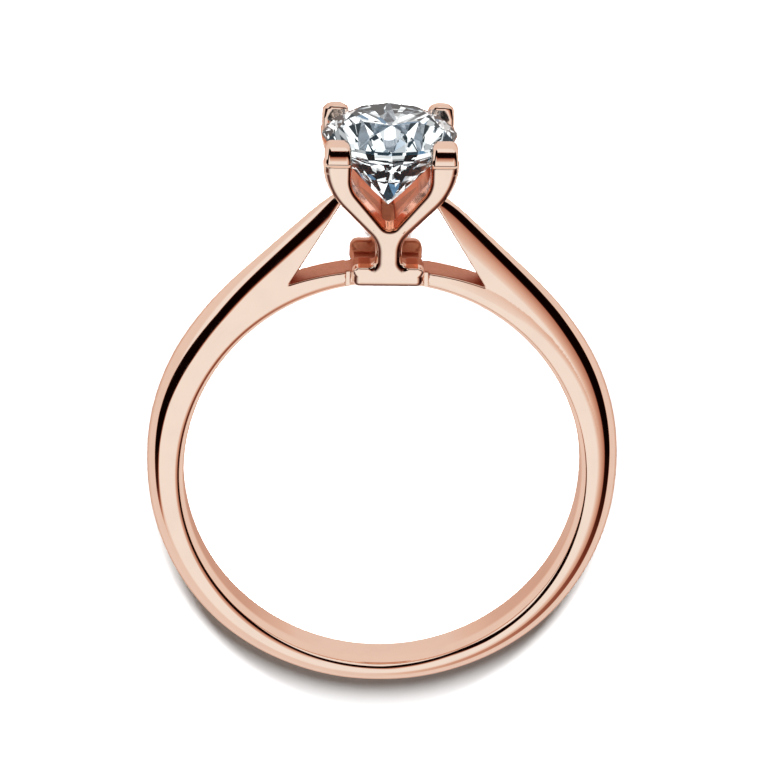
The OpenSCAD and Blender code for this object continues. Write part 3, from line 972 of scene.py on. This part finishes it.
def make_world():
    """The sky: one for the metal, one that shows through the stone, and one for the floor."""
    world = bpy.data.worlds.new("studio")
    bpy.context.scene.world = world
    world.use_nodes = True
    graph = Graph(world.node_tree)
    split = graph.node("ShaderNodeSeparateXYZ")
    graph.feed(split.inputs["Vector"], graph.node("ShaderNodeTexCoord").outputs["Generated"])
    x, y, z = split.outputs
    overhead = graph.number("DIVIDE", graph.number("ARCCOSINE", z), math.pi)
    turn = graph.number("DIVIDE", graph.number("ARCTAN2", y, x), 2 * math.pi)
    compass = graph.number("FRACT", graph.number("ADD", turn, 1))

    colours = graph.node("ShaderNodeValToRGB")
    stops = colours.color_ramp.elements
    for spot, (at, colour) in enumerate(sky_colours):
        stop = stops[spot] if spot < 2 else stops.new(at)
        stop.position = at
        stop.color = (*colour, 1)
    graph.feed(colours.inputs["Fac"], screen_level(graph, compass, overhead))

    rays = graph.node("ShaderNodeLightPath").outputs
    in_stone = graph.number("GREATER_THAN", rays["Transmission Depth"], OUTSIDE_DEPTH)
    seen = graph.blend(in_stone, colours.outputs["Color"], stone_sky(graph, compass, overhead))
    seen = graph.blend(rays["Is Diffuse Ray"], seen, (FLOOR_LIGHT, FLOOR_LIGHT, FLOOR_LIGHT))
    graph.feed(world.node_tree.nodes["Background"].inputs["Color"], seen)


# One lamp stands over the head and one on each side of the head, so that the only place on
# the floor that none of them reaches is just outside the bottom of the band. Columns: place
# in millimetres, size, strength
lamp_rows = [((0, 7, 31), 15, 16.0), ((-24, 43, 48), 18, 16.0), ((24, 43, 48), 18, 16.0)]


def make_light(name, kind, strength, place, toward):
    """A light that shines on things but isn't seen in them, and keeps its strength with distance."""
    light = bpy.data.lights.new(name, kind)
    light.energy = strength
    light.use_nodes = True
    nodes, links = light.node_tree.nodes, light.node_tree.links
    falloff = nodes.new("ShaderNodeLightFalloff")
    falloff.inputs["Strength"].default_value = 1
    links.new(falloff.outputs["Constant"], nodes["Emission"].inputs["Strength"])
    lamp = bpy.data.objects.new(name, light)
    lamp.location = place
    lamp.rotation_euler = toward.to_track_quat("-Z", "Y").to_euler()
    lamp.visible_camera = False
    lamp.visible_glossy = False
    lamp.visible_transmission = False
    bpy.context.scene.collection.objects.link(lamp)
    return light


def make_lamp(place, size, strength):
    """A soft round lamp that points at the middle of the finger hole."""
    toward = Vector((0, hole_centre[1], 0)) - Vector(place)
    light = make_light("lamp", "AREA", strength, [v * MM for v in place], toward)
    light.shape = "DISK"
    light.size = size * MM


# A narrow beam from beside the camera clears the floor seen through the windows
BEAM_TARGET = (0, 10.5, 0)
BEAM_FAR = 80
BEAM_REACH = 8.5
BEAM_STRENGTH = 90.0
BEAM_BLEND = 0.6


def make_beam():
    back = camera_back()
    place = np.array(BEAM_TARGET) + back * BEAM_FAR
    light = make_light("beam", "SPOT", BEAM_STRENGTH, to_row([place])[0], Vector(-back @ ring_axes))
    light.shadow_soft_size = MM
    light.spot_size = 2 * math.atan(BEAM_REACH / BEAM_FAR)
    light.spot_blend = BEAM_BLEND


# The camera looks along the finger, from a little above the stone's side and the left
CAMERA_RISE = 20
CAMERA_AZIMUTH = 2.2
CAMERA_ROLL = 1.36
CAMERA_FAR = 300
SENSOR_WIDTH = 36
IMAGE = 780
PIXELS_PER_MM = 23.3
HOLE_PIXEL = (381.9, 465.8)


def camera_back():
    """Direction from the ring to the camera."""
    rise, azimuth = math.radians(CAMERA_RISE), math.radians(CAMERA_AZIMUTH)
    level = math.cos(rise)
    return np.array([-math.sin(azimuth) * level, math.sin(rise), math.cos(azimuth) * level])


def make_camera():
    """The camera, aimed so that the finger hole's centre falls on its pixel."""
    azimuth, roll = math.radians(CAMERA_AZIMUTH), math.radians(CAMERA_ROLL)
    back = camera_back()
    right = np.array([math.cos(azimuth), 0, math.sin(azimuth)])
    up = np.cross(back, right)
    right, up = (
        right * math.cos(roll) + up * math.sin(roll),
        up * math.cos(roll) - right * math.sin(roll),
    )
    off_x = (IMAGE / 2 - HOLE_PIXEL[0]) / PIXELS_PER_MM
    off_y = (HOLE_PIXEL[1] - IMAGE / 2) / PIXELS_PER_MM
    place = back * CAMERA_FAR
    sight = place - (right * off_x + up * off_y)
    sight = sight / np.linalg.norm(sight)
    side = np.cross(up, sight)
    side = side / np.linalg.norm(side)
    top = np.cross(sight, side)
    lens = bpy.data.cameras.new("camera")
    lens.sensor_width = SENSOR_WIDTH
    lens.lens = PIXELS_PER_MM * CAMERA_FAR / IMAGE * SENSOR_WIDTH
    lens.clip_start = 0.01
    camera = bpy.data.objects.new("camera", lens)
    turn = Matrix((np.stack([side, top, sight]) @ ring_axes).T.tolist())
    camera.matrix_world = Matrix.Translation(Vector(to_row([place])[0])) @ turn.to_4x4()
    bpy.context.scene.collection.objects.link(camera)
    bpy.context.scene.camera = camera


make_camera()
make_floor()
make_world()
for place, size, strength in lamp_rows:
    make_lamp(place, size, strength)
make_beam()

gold = rose_gold()
for piece in make_metal():
    piece.data.materials.append(gold)
    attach(piece, "root")
    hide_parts("ring")

stone = make_stone()
stone.data.materials.append(diamond())
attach(stone, "root")
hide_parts("diamond")

bpy.context.scene.view_settings.view_transform = "Standard"
